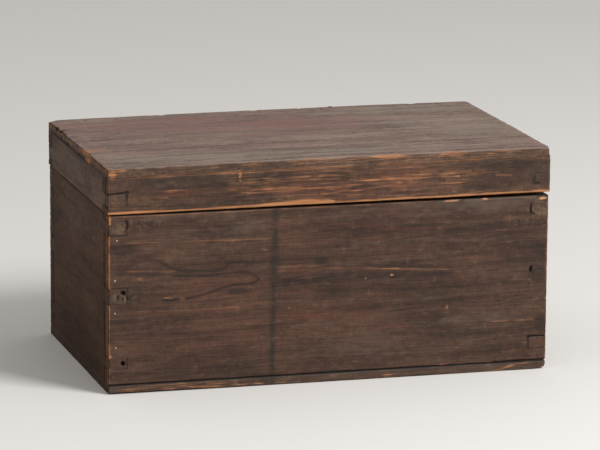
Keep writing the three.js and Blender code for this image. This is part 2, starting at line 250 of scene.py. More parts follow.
MARKS = {}
MARKS["base", "front"] = [
    # the worn left arris, whole between the fingers
    *lines("thread", (1.3, 0.8, 0.7, 12, 0.7, 25), (1.2, 1.2, 0.7, 37, 0.7, 89),
        (1.2, 1.2, 0.7, 107, 0.7, 158), (1.6, 1.2, 1.4, 171, 1.4, 178)),
    spot("wear", (2.4, 2.6), 0.8, (1.5, 38), (1.2, 108)),
    # orange lines along the grain
    *lines("thread", (0.9, 0.5, 16, 151.2, 92, 149.7, 164, 148.5), (1.1, 0.5, 70, 150.2, 132, 149),
        (0.9, 0.34, 172, 141.5, 198, 141), (0.9, 0.42, 18, 122.8, 68, 120.7),
        (1.0, 0.5, 20, 82.2, 82, 81.1, 129, 81.4), (1.6, 0.42, 130.5, 82.4, 130.3, 69),
        (0.9, 0.4, 144, 83.8, 167, 83.5), (0.9, 0.46, 172, 119.4, 213, 118.3),
        (1.0, 0.42, 214, 116.2, 289, 111.6, 355, 107.4), (1.3, 0.5, 264, 113.2, 310, 110.2)),
    line("wear", 1.6, 0.7, 278, 112.6, 296, 111),
    *lines("thread", (0.9, 0.5, 394, 51.8, 439, 51.5), (0.9, 0.4, 404, 20.4, 450, 20),
        (0.9, 0.45, 406, 157.4, 421, 157.7), (0.9, 0.3, 66, 32.5, 118, 31.2),
        (0.9, 0.28, 240, 138, 320, 141, 436, 147)),
    *strokes("thread", 26, (20, 440, 14, 172), (14, 60), (0.8, 1.1), (0.10, 0.30), 71),
    *strokes("wear", 22, (170, 440, 60, 172), (6, 26), (0.9, 1.5), (0.15, 0.42), 72),
    *lines("red", (1.6, 0.7, 20, 80, 80, 78.5, 129, 79),
        (2.2, 0.6, 214, 163, 253, 156.8, 293, 151.7, 345, 151), (2.4, 0.6, 172, 116, 214, 114),
        (2.0, 0.5, 238, 74.5, 267, 77), (2.0, 0.5, 176, 92, 222, 95)),
    # small worn spots
    *spots("wear", ((5, 2), 0.8, (32, 115)), ((7, 1.5), 0.75, (60, 94.2)),
        ((4, 2.6), 0.6, (183, 76.5), (75, 93.2))),
    *spots("rough", ((4.2, 3.2), 0.7, (386, 48.7), (264, 37), (250, 47)),
        ((9, 5), 0.42, (188, 57), (166, 43), (330, 97), (112, 66))),
    spot("pale", (2.2, 1.4), 0.66, (289, 105.4)),
    spot("dark", (4, 1.6), 0.7, (291, 102.6)),
    spot("pale", (1.6, 1.2), 0.6, (262, 103.6)),
    spot("wear", (2.0, 5.5), 0.6, (346.8, 69)),
    *spots("rough", ((3.0, 6.5), 0.5, (347, 67)), ((30, 6), 0.3, (196, 80), (330, 119), (430, 154))),
    # the dark figure of the plank
    *lines("dark", (4.5, 0.35, 12, 122, 26, 131, 38, 135),
        (2.2, 0.62, 34, 136, 50, 132, 68, 122, 90, 119.5, 108, 119, 118, 121, 123, 126, 140, 126, 168, 124.5),
        (2.6, 0.5, 14, 120, 50, 118, 95, 116),
        (1.7, 0.75, 60, 117, 95, 114.5, 122, 116, 140, 116, 148, 111.5, 151, 107.5,
         144, 104.5, 130, 104, 117, 102, 97, 96, 76, 92.5, 54, 92),
        (3.2, 0.6, 122, 97.8, 143, 97),
        (3.0, 0.5, 170, 103, 189, 105.3, 199, 102, 211, 104.3, 225, 107.6),
        (3.4, 0.45, 225, 107.6, 262, 109, 300, 104, 350, 103),
        (2.4, 0.4, 262, 118, 277, 114.4, 310, 117.3, 352, 121, 392, 123),
        (2.2, 0.35, 262, 137, 320, 143, 380, 150, 446, 153),
        (2.6, 0.35, 240, 71, 300, 74, 352, 77, 410, 80), (2.0, 0.3, 20, 60, 90, 57, 150, 60, 200, 63)),
    spot("red", (15, 5.5), 0.5, (200, 109)),
    *spots("dark", ((9, 4), 0.55, (216, 123.5)), ((17, 6), 0.5, (16, 144.5)),
        ((30, 11), 0.25, (240, 100), (420, 118)), ((60, 9), 0.22, (380, 140), (330, 90))),
    *strokes("dark", 14, (180, 430, 20, 170), (24, 90), (2.4, 5.5), (0.12, 0.32), 99),
    *strokes("red", 12, (180, 430, 20, 170), (24, 80), (2.0, 4.5), (0.25, 0.6), 100),
    *strokes("dust", 8, (180, 430, 20, 170), (20, 60), (1.6, 3.6), (0.2, 0.45), 101),
    # the greenish stain that runs down from rim to floor
    line("stain", 3.8, 0.6, 168.2, 179, 166.8, 90, 165.4, 0, ragged=0.3),
    line("stain", 2.2, 1.1, 168.8, 179, 167.4, 90, 165.8, 0, ragged=0.5),
    line("stain", 1.6, 0.6, 172.4, 150, 171.6, 118, ragged=0.6),
    # dust and grey near the rim and over the left
    *spots("dust", ((80, 22), 0.4, (95, 167)), ((130, 10), 0.4, (330, 172)), ((90, 30), 0.25, (310, 40))),
    *spots("red", ((120, 26), 0.35, (230, 152)), ((120, 30), 0.3, (90, 60)), ((80, 26), 0.3, (230, 78)),
        ((60, 20), 0.35, (110, 106))),
    # the rim
    line("thread", 1.0, 0.55, 3, 177.3, 150, 177.6, 330, 177.7),
    # painted shadow: a black line along the rim, under the lid's overhang, over the real gap
    line("dark", 1.0, 1.7, 0, 179.4, 452, 179.4, ragged=0.1),
    line("dust", 1.8, 1.6, 366, 178, 438, 178),
    spot("pale", (12, 1.3), 0.72, (351, 177.6), cut=0.6),
    spot("pale", (4.0, 1.2), 0.66, (385, 178.0), cut=0.5),
    spot("pale", (5.4, 2.6), 0.62, (446, 175.5), cut=0.9),
    spot("rough", (9, 4), 0.7, (442, 174)),
    *lines("thread", (1.3, 0.62, 451.2, 90, 451.2, 172), (1.1, 0.4, 451.2, 12, 451.2, 80)),
    *lines("wear", (0.9, 0.4, 20, 10.4, 160, 10.4), (1.1, 0.6, 340, 10.6, 450, 10.6)),
    # left top finger: a rough patch and a curved crack
    *spots("rough", ((11, 6.4), 0.95, (10, 165.8)), ((26, 5), 0.55, (36, 170))),
    line("dark", 1.0, 1.0, 17.6, 173.4, 19.4, 170, 18.6, 165, 16.5, 162, cut=0.5),
    line("wear", 1.0, 0.4, 2, 173, 17, 173),
    line("dark", 0.9, 0.6, 2, 158.6, 19, 158.6),
    # left middle finger: a knotty patch with a hole painted black, as painted shade in its recess
    spot("rough", (13, 7.5), 0.95, (14, 98)),
    spot("wear", (9, 2.6), 0.45, (14, 92.5)),
    spot("dark", (2.3, 2.0), 2.0, (15.4, 101.4), cut=4.0),
    spot("dark", (1.6, 3.6), 1.0, (9.6, 97), (19.6, 96.5), cut=0.5),
    spot("dark", (1.4, 2.6), 1.0, (23, 97.6), (14.6, 94.8), cut=0.4),
    spot("wear", (7, 2.4), 0.4, (24, 90.6)),
    line("dark", 0.9, 0.7, 3, 106.4, 22, 106.6),
    # left bottom finger: a nail hole, painted black as painted shade in its recess
    spot("dark", (1.9, 1.9), 2.2, (14.7, 30.6), cut=4.5),
    *lines("wear", (1.0, 0.5, 2, 24.6, 16, 24.6), (0.9, 0.35, 4, 36.6, 16, 36.6)),
    # right top finger: a curved crack at its root
    line("dark", 0.9, 1.2, 434.4, 171.4, 433.6, 167.6, 433.2, 164.2, 434.2, 161.6, 436.6, 159.8, cut=0.5,
         ragged=0.5),
    spot("rough", (11, 6), 1.0, (441, 164)),
    *strokes("wear", 9, (414, 450, 153, 170), (5, 14), (0.8, 1.3), (0.3, 0.6), 96),
    spot("pale", (3, 1.6), 0.35, (447, 159.5)),
    line("wear", 1.2, 0.5, 406, 156, 448, 157),
    spot("rough", (20, 5), 0.55, (428, 154)),
    # right middle finger: a slot painted black as painted shade, and bright specks along it
    spot("dark", (1.3, 3.2), 2.0, (434.3, 103.6), cut=2.5),
    spot("pale", (0.9, 1.6), 0.5, (433.4, 97.5), (433.2, 92.5), (433.8, 87.2)),
    spot("rough", (8, 8), 0.6, (442, 98)),
    # right bottom finger: dark shadow lines round the proud end
    line("dark", 1.1, 1.6, 433, 34.2, 452, 34.2, cut=1.2),
    line("dark", 0.9, 1.0, 432.8, 22, 432.8, 34, cut=0.4),
    spot("thread", (11, 6.4), 0.3, (443, 28)),
    spot("dark", (10, 5.8), 0.3, (443, 28)),
    # the dark end of the plank between the fingers
    *spots("dark", ((9, 10), 0.5, (444, 123)), ((8, 9), 0.4, (446, 44)), ((10, 9), 0.55, (442, 98))),
    # the bottom board's front edge, and the seam over it
    line("dark", 1.1, 1.9, 0, 9.3, 226, 9.25, 452, 9.3, cut=0.8, ragged=0.15),
    line("dark", 1.7, 1.9, 396, 9.4, 452, 9.5, cut=0.8, ragged=0.1),
    line("pale", 0.9, 0.3, 20, 1.6, 120, 2.6, 200, 2.0),
    spot("wear", (8, 1.6), 0.7, (62, 2.4), (96, 1.6), (20, 4)),
    *strokes("wear", 12, (2, 130, 1.5, 8), (8, 30), (0.9, 1.5), (0.35, 0.7), 95),
    *spots("wear", ((80, 7), 0.48, (60, 4)), ((7, 2.2), 0.6, (285, 3), (240, 1.2))),
    *lines("wear", (1.2, 0.75, 396, 0.6, 405, 2.5, 418, 5.6, 440, 8.6), (1.2, 0.4, 370, 0.8, 440, 0.8)),
]
MARKS["base", "left"] = [
    line("wear", 5.0, 0.62, 6, 12, 6, 176),
    line("rough", 6.0, 0.5, 5, 12, 5, 176),
    # painted light: a lighter brown over the upper part of this side
    spot("rough", (120, 40), 0.22, (150, 150)),
    *strokes("wear", 16, (20, 250, 60, 172), (12, 60), (0.9, 1.6), (0.12, 0.36), 73),
    *strokes("dark", 18, (20, 250, 12, 172), (20, 90), (1.0, 2.4), (0.15, 0.4), 74),
    *nicks(5, (1, 14), (1, 174), (0.3, 0.9), 81, upright=True),
    # painted shade: darker towards the bottom of this side
    *spots("dark", ((120, 40), 0.28, (136, 20)), ((40, 60), 0.2, (20, 60))),
    # painted sheen: a pale dust tint over the upper part of this side
    spot("dust", (90, 26), 0.5, (150, 150)),
    line("wear", 1.6, 0.45, 60, 178, 215, 178),
    spot("pale", (3, 3), 0.55, (262, 172)),
    *joint_seams("base_left", 1.0),
    line("red", 2.4, 0.35, 30, 120, 120, 124, 240, 121),
    *lines("dark", (2.6, 0.3, 40, 140, 120, 136, 230, 142), (2.4, 0.3, 30, 84, 130, 88, 250, 83)),
]
MARKS["base", "right"] = [
    *strokes("wear", 22, (20, 250, 20, 172), (12, 60), (0.9, 1.6), (0.15, 0.45), 75),
    *strokes("dark", 18, (20, 250, 12, 172), (20, 90), (1.0, 2.4), (0.15, 0.4), 76),
    *nicks(5, (272, 14), (272, 174), (0.3, 0.9), 82, upright=True),
    # painted shade: darker towards the bottom of this side
    spot("dark", (120, 34), 0.2, (136, 22)),
    *lines("wear", (1.4, 0.5, 30, 178, 150, 178), (1.0, 0.5, 40, 130, 140, 133),
        (1.0, 0.4, 110, 64, 200, 61)),
    *joint_seams("base_right", 1.0),
    line("dark", 2.4, 0.4, 40, 100, 110, 106, 180, 101, 240, 104),
    # painted sheen: a pale dust tint over the upper part of this side
    spot("dust", (70, 24), 0.5, (170, 150)),
    # a hole painted black: painted shade in its recess
    spot("dark", (1.8, 1.8), 2.0, (10, 96), cut=3.0),
]
MARKS["base", "back"] = [
    *strokes("thread", 20, (20, 440, 14, 172), (20, 90), (0.8, 1.2), (0.15, 0.5), 77),
    *strokes("wear", 20, (20, 440, 14, 172), (8, 40), (0.9, 1.6), (0.15, 0.45), 78),
    *strokes("dark", 20, (20, 440, 14, 172), (30, 140), (1.4, 3.0), (0.15, 0.4), 79),
    line("dark", 1.1, 1.7, 0, 9.3, 226, 9.25, 452, 9.3, cut=0.8, ragged=0.15),
    *nicks(6, (10, 178.6), (440, 178.6), (0.3, 0.9), 83),
    # painted shade: darker towards the bottom of the back
    spot("dark", (160, 30), 0.2, (220, 24)),
    *lines("wear", (1.3, 0.6, 30, 178.2, 210, 178.2), (1.3, 0.5, 260, 178.2, 430, 178.2),
        (1.1, 0.6, 60, 141, 190, 139), (1.1, 0.55, 240, 66, 360, 64)),
    *lines("dark", (2.4, 0.5, 30, 112, 110, 120, 190, 113, 300, 117, 420, 111),
        (2.2, 0.45, 60, 88, 150, 94, 260, 90, 390, 96)),
    # painted sheen: a pale dust tint over the upper part of the back
    spot("dust", (120, 26), 0.5, (150, 158)),
    spot("red", (120, 30), 0.35, (300, 110)),
    # holes painted black: painted shade in their recesses
    spot("dark", (1.8, 1.8), 2.0, (12, 98), (441, 30), cut=3.0),
]
MARKS["lid", "front"] = [
    # the bright lower arris
    line("wear", 2.9, 1.4, 1, 179.4, 150, 179.4, ragged=0.1),
    line("wear", 3.9, 1.4, 150, 179.2, 176, 180, 205, 181, 222, 180.2, 228, 179.2, ragged=0.08),
    line("wear", 2.5, 1.35, 228, 179.2, 330, 179.2, 452, 179.6, ragged=0.12),
    line("wear", 5.5, 0.3, 1, 181, 452, 181),
    # the seam under the top board
    *lines("thread", (1.0, 0.75, 30, 215.3, 160, 215.2, 290, 215.6, 390, 215.6),
        (0.9, 0.4, 390, 215.8, 448, 215.4)),
    # orange patches along the top arris
    *spots("wear", ((13, 2.6), 0.75, (10, 222.5)), ((40, 2.4), 0.5, (68, 223)),
        ((28, 2.6), 0.55, (150, 222.5)), ((24, 2.4), 0.72, (204, 223)), ((40, 3.6), 0.45, (250, 221)),
        ((24, 2.2), 0.78, (286, 223)), ((20, 2.4), 0.72, (353, 222.6)), ((14, 1.8), 0.6, (424, 223.2)),
        ((5.5, 5), 1.0, (5.5, 219.5)), ((90, 5), 0.42, (250, 220)), ((50, 5), 0.4, (380, 220)),
        ((70, 5), 0.3, (80, 220))),
    line("wear", 1.5, 0.9, 294, 223.6, 294.3, 218),
    # streaks along the grain
    *strokes("thread", 30, (130, 400, 184, 213), (14, 70), (0.7, 1.0), (0.2, 0.6), 61),
    *strokes("wear", 40, (170, 390, 182, 214), (8, 46), (0.8, 1.5), (0.22, 0.52), 62),
    *strokes("wear", 8, (30, 200, 184, 214), (8, 40), (0.8, 1.4), (0.2, 0.45), 63),
    *strokes("wear", 44, (120, 440, 216.5, 224), (8, 40), (0.8, 1.4), (0.25, 0.6), 64),
    *spots("dark", ((56, 16), 0.34, (418, 199)), ((48, 12), 0.3, (84, 205))),
    *strokes("dark", 26, (20, 440, 184, 214), (12, 60), (0.9, 2.0), (0.2, 0.5), 65),
    *lines("wear", (1.3, 0.5, 58, 199.6, 84, 200.6, 126, 200.4, 184, 196),
        (1.7, 0.66, 184, 196, 237, 195)),
    line("red", 2.4, 0.7, 58, 198, 126, 198.6, 237, 193),
    *lines("wear", (1.3, 0.6, 33, 195, 61, 193.6),
        (1.3, 0.74, 250, 201, 303, 200.2, 320, 200.7, 358, 200.4), (1.2, 0.62, 382, 202.7, 400, 202.6),
        (1.5, 0.66, 397, 199.2, 413.5, 198.4), (1.6, 0.6, 290, 189.6, 303, 189),
        (1.6, 0.72, 156, 198, 166, 197.7), (1.0, 0.5, 150, 206, 196, 204.5),
        (1.0, 0.5, 214, 208, 262, 207, 300, 207.6), (1.0, 0.5, 262, 212, 330, 211),
        (1.2, 0.52, 206, 190, 262, 190.8, 336, 187), (1.0, 0.5, 330, 194, 376, 193),
        (0.9, 0.4, 340, 206, 420, 205)),
    *spots("wear", ((60, 9), 0.3, (186, 192)), ((34, 14), 0.4, (140, 202)), ((70, 13), 0.32, (290, 197)),
        ((60, 5), 0.24, (235, 186)), ((46, 8), 0.2, (370, 196))),
    *spots("red", ((110, 18), 0.6, (250, 196)), ((40, 9), 0.35, (60, 196))),
    # nick with its stain and a scratch
    spot("wear", (2.3, 6.5), 0.85, (133.2, 214)),
    spot("pale", (1.4, 2.4), 0.5, (133.6, 207)),
    line("dark", 0.8, 1.0, 131.6, 218.5, 131.8, 211, cut=0.5),
    line("rough", 0.9, 1.0, 134, 205.3, 152, 207.6, 171, 211, ragged=0.2),
    # left finger and the crack above it
    line("dark", 1.1, 1.6, 0, 199.2, 10, 200, 21, 201, cut=0.9),
    line("dark", 0.9, 0.9, 20.2, 201, 19.8, 187.5, cut=0.4),
    spot("wear", (10, 7), 0.45, (9, 193.0)),
    spot("rough", (12, 7), 0.45, (14, 208)),
    # right finger with its angled crack
    line("dark", 1.1, 1.6, 437.6, 197, 437.4, 189.2, 442.4, 189.0, cut=0.9),
    spot("wear", (8, 4), 0.3, (447, 193)),
    spot("rough", (12, 8), 0.45, (442, 202), (444, 188)),
    line("wear", 1.3, 0.5, 453.6, 182, 453.6, 222),
    *nicks(4, (454, 184), (454, 224), (0.2, 0.7), 84, upright=True),
    *nicks(8, (20, 224.6), (440, 224.6), (0.2, 0.6), 85),
    *spots("dark", ((40, 7), 0.3, (110, 190), (40, 206)), ((50, 6), 0.35, (415, 208)),
        ((30, 4), 0.3, (175, 211), (220, 203))),
    spot("dust", (60, 8), 0.35, (80, 208)),
]
MARKS["lid", "left"] = [
    line("wear", 3.0, 0.62, 4, 221, 268, 221, ragged=0.5),
    *nicks(16, (110, 223.8), (268, 223.8), (0.5, 1.6), 86),
    *nicks(8, (8, 223.8), (110, 223.8), (0.3, 1.0), 87),
    line("dark", 1.6, 1.3, 8, 214, 7, 200, 8, 188, cut=0.5),
    spot("rough", (6, 14), 0.5, (3, 202)),
    *strokes("wear", 10, (20, 250, 184, 212), (12, 50), (0.9, 1.5), (0.15, 0.4), 66),
    *strokes("dark", 12, (20, 250, 184, 212), (16, 70), (1.0, 2.0), (0.15, 0.4), 67),
    *nicks(3, (271, 182), (271, 214), (0.5, 1.4), 88, upright=True),
    # the top board's rough end, its notches and the chip that runs onto the top
    spot("dust", (120, 4.2), 0.8, (140, 220)),
    spot("dark", (2.4, 4.2), 1.3, (206, 220), (176, 219), cut=1.2),
    spot("dark", (3.2, 2.4), 1.0, (232, 222), (154, 220), cut=0.8),
    line("dark", 1.4, 1.0, 100, 216.2, 250, 216.4, cut=0.4),
    spot("wear", (26, 3.4), 0.95, (98, 222.5), cut=0.7),
    spot("wear", (12, 4), 0.9, (84, 218)),
    *joint_seams("lid_left", 1.2),
    *lines("wear", (1.8, 0.6, 120, 179.6, 222, 179.6), (1.2, 0.3, 20, 179.6, 120, 179.6),
        (1.2, 0.4, 0.8, 182, 0.8, 214)),
    spot("wear", (6, 3), 0.6, (4, 222)),
    spot("dust", (90, 14), 0.9, (180, 200)),
    spot("rough", (60, 14), 0.3, (210, 204)),
]
MARKS["lid", "right"] = [
    spot("dark", (7, 7), 0.2, (0, 224), cut=1.8),
    line("wear", 3.0, 0.5, 4, 221, 268, 221, ragged=0.5),
    *nicks(12, (8, 223.8), (266, 223.8), (0.3, 1.2), 89),
    *strokes("wear", 14, (20, 250, 184, 212), (12, 50), (0.9, 1.5), (0.2, 0.5), 68),
    line("wear", 2.0, 0.8, 10, 179.6, 262, 179.6),
    spot("wear", (30, 3), 0.8, (40, 222.5), (170, 223)),
    spot("dark", (2.4, 4.2), 1.2, (70, 220), (196, 219.5), cut=1.0),
    line("dark", 1.2, 1.0, 20, 216.2, 250, 216.2, cut=0.4),
    *joint_seams("lid_right", 1.2),
    line("wear", 1.0, 0.5, 60, 200, 150, 202),
    spot("dust", (90, 14), 0.35, (140, 200)),
]
MARKS["lid", "back"] = [
    *nicks(10, (10, 224.4), (440, 224.4), (0.3, 1.2), 90),
    *strokes("wear", 30, (20, 430, 183, 223), (10, 60), (0.8, 1.5), (0.2, 0.6), 69),
    *strokes("dark", 16, (20, 430, 183, 223), (16, 80), (1.0, 2.2), (0.15, 0.4), 70),
    *lines("wear", (2.2, 1.0, 6, 179.6, 200, 179.6), (1.8, 0.8, 230, 179.6, 446, 179.6),
        (1.2, 0.7, 30, 215.4, 300, 215.4)),
    spot("wear", (40, 2.4), 0.7, (90, 222.8), (250, 222.6), (390, 223)),
    *lines("wear", (1.1, 0.6, 120, 199, 230, 197), (1.1, 0.5, 260, 205, 350, 204)),
    spot("wear", (80, 10), 0.28, (200, 196)),
    spot("dark", (60, 8), 0.3, (380, 200)),
]
MARKS["lid", "top"] = [
    *strokes("dark", 60, (6, 448, 8, 266), (24, 150), (0.9, 2.6), (0.08, 0.30), 91),
    *strokes("rough", 40, (6, 448, 8, 266), (16, 90), (0.9, 2.0), (0.12, 0.36), 92),
    *strokes("red", 26, (10, 330, 60, 262), (40, 150), (2.5, 7.0), (0.4, 1.1), 97),
    *strokes("dust", 22, (10, 448, 10, 262), (40, 150), (2.5, 7.0), (0.4, 1.1), 98),
    *strokes("wear", 34, (120, 440, 0.5, 5.5), (6, 34), (0.8, 1.4), (0.3, 0.65), 93),
    *spots("dark", ((7, 6), 0.2, (454, 0)), ((7, 9), 0.2, (0, 272)), cut=1.3),
    *nicks(7, (10, 271), (430, 271), (0.3, 1.1), 94),
    spot("wear", (9, 11), 0.8, (5, 98)),
    line("wear", 5.0, 0.8, 3, 97, 14, 101, 24, 104, ragged=0.6),
    *spots("wear", ((22, 1.6), 0.55, (204, 1.2), (286, 1.2), (353, 1.2)), ((38, 1.5), 0.45, (68, 1.2)),
        ((5, 4), 0.9, (4, 3)), ((7, 1.8), 0.55, (350, 113))),
    *spots("red", ((190, 70), 0.55, (150, 205)), ((110, 26), 0.4, (170, 120)),
        ((90, 30), 0.35, (330, 150))),
    *spots("dust", ((150, 34), 0.7, (120, 36)), ((80, 70), 0.7, (410, 130)), ((90, 26), 1.0, (366, 240)),
        ((60, 30), 0.45, (150, 130))),
    *lines("dark", (2.6, 0.35, 20, 150, 120, 158, 240, 149, 380, 156),
        (2.2, 0.3, 60, 84, 170, 90, 300, 82, 430, 88), (2.0, 0.3, 20, 48, 140, 54, 290, 46, 440, 50),
        (2.8, 0.3, 100, 222, 200, 228, 330, 220)),
    spot("dark", (16, 4), 0.3, (176, 105)),
    line("pale", 1.0, 0.25, 160, 96, 190, 95),
    spot("dark", (5, 2.2), 1.0, (5, 214), (6, 176), cut=0.6),
    *lines("dust", (2.2, 1.0, 452.6, 20, 452.6, 240), (1.8, 0.8, 30, 1.2, 440, 1.2)),
]


LATTICE = 128  # cells before the noise repeats


def noise(a, b, seed):
    """Smooth seeded noise from -1 to 1, with one cell per unit of a and b."""
    size = LATTICE
    lattice = np.random.default_rng(seed).uniform(-1, 1, (size, size))
    i, j = np.floor(a).astype(int), np.floor(b).astype(int)
    x, y = a - i, b - j
    x, y = x * x * (3 - 2 * x), y * y * (3 - 2 * y)

    def corner(di, dj):
        return lattice[(i + di) % size, (j + dj) % size]

    near = corner(0, 0) * (1 - x) + corner(1, 0) * x
    far = corner(0, 1) * (1 - x) + corner(1, 1) * x
    return near * (1 - y) + far * y


def smooth_path(corners, steps=6):
    """Points on a smooth curve through the corners."""
    if len(corners) < 3:
        return corners
    ends = [corners[0], *corners, corners[-1]]
    path = []
    for p0, p1, p2, p3 in zip(ends, ends[1:], ends[2:], ends[3:]):
        p0, p1, p2, p3 = (np.array(p, float) for p in (p0, p1, p2, p3))
        for t in np.arange(steps) / steps:
            bend = (2 * p0 - 5 * p1 + 4 * p2 - p3) * t**2 + (3 * p1 - p0 - 3 * p2 + p3) * t**3
            path.append(tuple(p1 + 0.5 * ((p2 - p0) * t + bend)))
    return [*path, corners[-1]]


def line_value(a, b, mark, seed):
    """1 on the mark's line and 0 from its width outwards, with ragged strength along it."""
    distance = np.full(a.shape, 1e9)
    path = smooth_path(mark["at"])
    for (a0, b0), (a1, b1) in zip(path, path[1:]):
        da, db = a1 - a0, b1 - b0
        along = np.clip(((a - a0) * da + (b - b0) * db) / (da * da + db * db), 0, 1)
        distance = np.minimum(distance, np.hypot(a - a0 - along * da, b - b0 - along * db))
    ragged = 1 + mark["ragged"] * noise(a / 9, b / 9, seed)
    return np.clip(1.25 * ragged - distance / mark["size"], 0, 1)


def spot_value(a, b, mark, seed):
    """1 inside the mark's ellipse, fading out across a ragged rim."""
    ra, rb = mark["size"]
    value = np.zeros(a.shape)
    for ca, cb in mark["at"]:
        reach = np.hypot((a - ca) / ra, (b - cb) / rb)
        ragged = 0.22 * noise(a / (0.5 * ra), b / (0.5 * rb), seed)
        value = np.maximum(value, np.clip((1.25 + ragged - reach) / 0.7, 0, 1))
    return value


def side_places(body, points):
    """For each outer side: where each point lies on it, and how deep below it."""
    low, high = BODY_BOX[body]
    x, y, z = points.T
    return {
        "front": (x - low[X], z, y - low[Y], (0, 1, 0)),
        "back": (high[X] - x, z, high[Y] - y, (0, -1, 0)),
        "left": (y - low[Y], z, x - low[X], (1, 0, 0)),
        "right": (y - low[Y], z, high[X] - x, (-1, 0, 0)),
        "top": (x - low[X], y - low[Y], high[Z] - z, (0, 0, -1)),
        "under": (x - low[X], y - low[Y], z - low[Z], (0, 0, 1)),
    }


def points_below_walls(points):
    """How deep each point lies below the nearest of the base's four upright sides."""
    places = side_places("base", points)
    return np.min([places[side][2] for side in ("front", "back", "left", "right")], axis=0)


MARK_REACH = 2.5  # how deep below a side its marks fade out
ADDED_KINDS = ("red", "dust")  # tints add up, and of the other kinds the strongest counts
KINDS = ("wear", "thread", "pale", "rough", "dark", "stain", "red", "dust")


def apply_marks(body, points):
    """The strength of each kind of mark at each point, and how far each point is cut back."""
    values = {kind: np.zeros(len(points)) for kind in KINDS}
    shift = np.zeros(points.shape)
    for side, (a, b, depth, inward) in side_places(body, points).items():
        near = np.clip(1 - depth / MARK_REACH, 0, 1)
        for number, mark in enumerate(MARKS.get((body, side), [])):
            value = line_value if mark["form"] == "line" else spot_value
            margin = 2 * np.max(mark["size"]) + 1
            (a0, b0), (a1, b1) = np.min(mark["at"], 0) - margin, np.max(mark["at"], 0) + margin
            some = (near > 0) & (a > a0) & (a < a1) & (b > b0) & (b < b1)
            amount = value(a[some], b[some], mark, number + 1) * near[some]
            kept = values[mark["kind"]]
            if mark["kind"] in ADDED_KINDS:
                kept[some] += amount * mark["strength"]
            else:
                kept[some] = np.maximum(kept[some], amount * mark["strength"])
            if mark["cut"]:
                shift[some] += np.outer(amount * mark["cut"], inward)
    return values, shift


# ---- boards --------------------------------------------------------------------------------------

COARSE = 1.0


def grid_lines(stops, step, fine, growth=0.35):
    """Positions through every stop, `fine` apart beside a stop and up to `step` apart elsewhere."""
    stops = sorted(set(round(stop, 4) for stop in stops))
    found = [stops[0]]
    for start, end in zip(stops, stops[1:]):
        span, at = [start], start
        while at < end:
            beside = min(at - start, max(end - at, 0))
            at += min(step, fine + growth * beside) * COARSE
            span.append(at)
        if len(span) > 2 and span[-1] - end > end - span[-2]:
            span.pop()
        stretch = (end - start) / (span[-1] - start)
        found += [start + (at - start) * stretch for at in span[1:]]
    return np.array(found)


def shell(outline, along, across, through, flip):
    """Closed grid mesh of a flat plate. `outline` is a list of rectangles (a0, a1, b0, b1), and the
    three lists hold the grid's positions. Returns (a, b, c) of each vertex, and the quads."""
    mid_a, mid_b = (along[1:] + along[:-1]) / 2, (across[1:] + across[:-1]) / 2
    solid = np.zeros((len(mid_a), len(mid_b)), bool)
    for a0, a1, b0, b1 in outline:
        solid |= np.outer((mid_a > a0) & (mid_a < a1), (mid_b > b0) & (mid_b < b1))
    padded = np.pad(solid, 1)
    around = [padded[1:, 1:], padded[:-1, 1:], padded[1:, :-1], padded[:-1, :-1]]
    used = np.logical_or.reduce(around)
    rim = used & ~np.logical_and.reduce(around)
    last = len(through) - 1
    number = np.full((last + 1, *used.shape), -1)
    places = []
    count = 0
    for layer, depth in enumerate(through):
        shown = used if layer in (0, last) else rim
        i, j = np.nonzero(shown)
        number[layer, i, j] = count + np.arange(len(i))
        count += len(i)
        places.append(np.column_stack([along[i], across[j], np.full(len(i), depth)]))
    i, j = np.nonzero(solid)
    top = number[last]
    low = number[0]
    quads = [
        np.column_stack([top[i, j], top[i + 1, j], top[i + 1, j + 1], top[i, j + 1]]),
        np.column_stack([low[i, j], low[i, j + 1], low[i + 1, j + 1], low[i + 1, j]]),
    ]
    for k in range(last):
        under, over = number[k], number[k + 1]
        for sign in (1, -1):
            # walls that face along the first direction, then along the second
            i, j = np.nonzero(padded[:-1, 1:-1] & ~padded[1:, 1:-1] if sign > 0
                              else padded[1:, 1:-1] & ~padded[:-1, 1:-1])
            wall = [under[i, j], under[i, j + 1], over[i, j + 1], over[i, j]]
            quads.append(np.column_stack(wall[::sign]))
            i, j = np.nonzero(padded[1:-1, :-1] & ~padded[1:-1, 1:] if sign > 0
                              else padded[1:-1, 1:] & ~padded[1:-1, :-1])
            wall = [under[i, j], over[i, j], over[i + 1, j], under[i + 1, j]]
            quads.append(np.column_stack(wall[::sign]))
    quads = np.vstack(quads)
    return np.vstack(places), quads[:, ::-1] if flip else quads


def rounded(points, low, high, radii, seed):
    """Rounds the arrises of a box. `radii` gives two radii for each axis, for its low and high face,
    and each arris takes the smaller radius of its two faces."""
    nearer_low = points - low < high - points
    distance = np.where(nearer_low, points - low, high - points)
    radius = np.where(nearer_low, [r[0] for r in radii], [r[1] for r in radii])
    order = np.argsort(distance, axis=1)[:, :2]
    r = np.take_along_axis(radius, order, 1).min(1)
    span = points @ np.array([1.0, 0.83, 0.91])
    r = r * (1 + 0.32 * noise(span / 23, span / 61, seed) + 0.2 * noise(span / 5, span / 17, seed + 1))
    r = np.maximum(r, 0.05)[:, None]
    core = np.clip(points, low + r, high - r)
    out = points - core
    length = np.linalg.norm(out, axis=1)[:, None]
    return np.where(length > r, core + out * r / np.maximum(length, 1e-9), points)


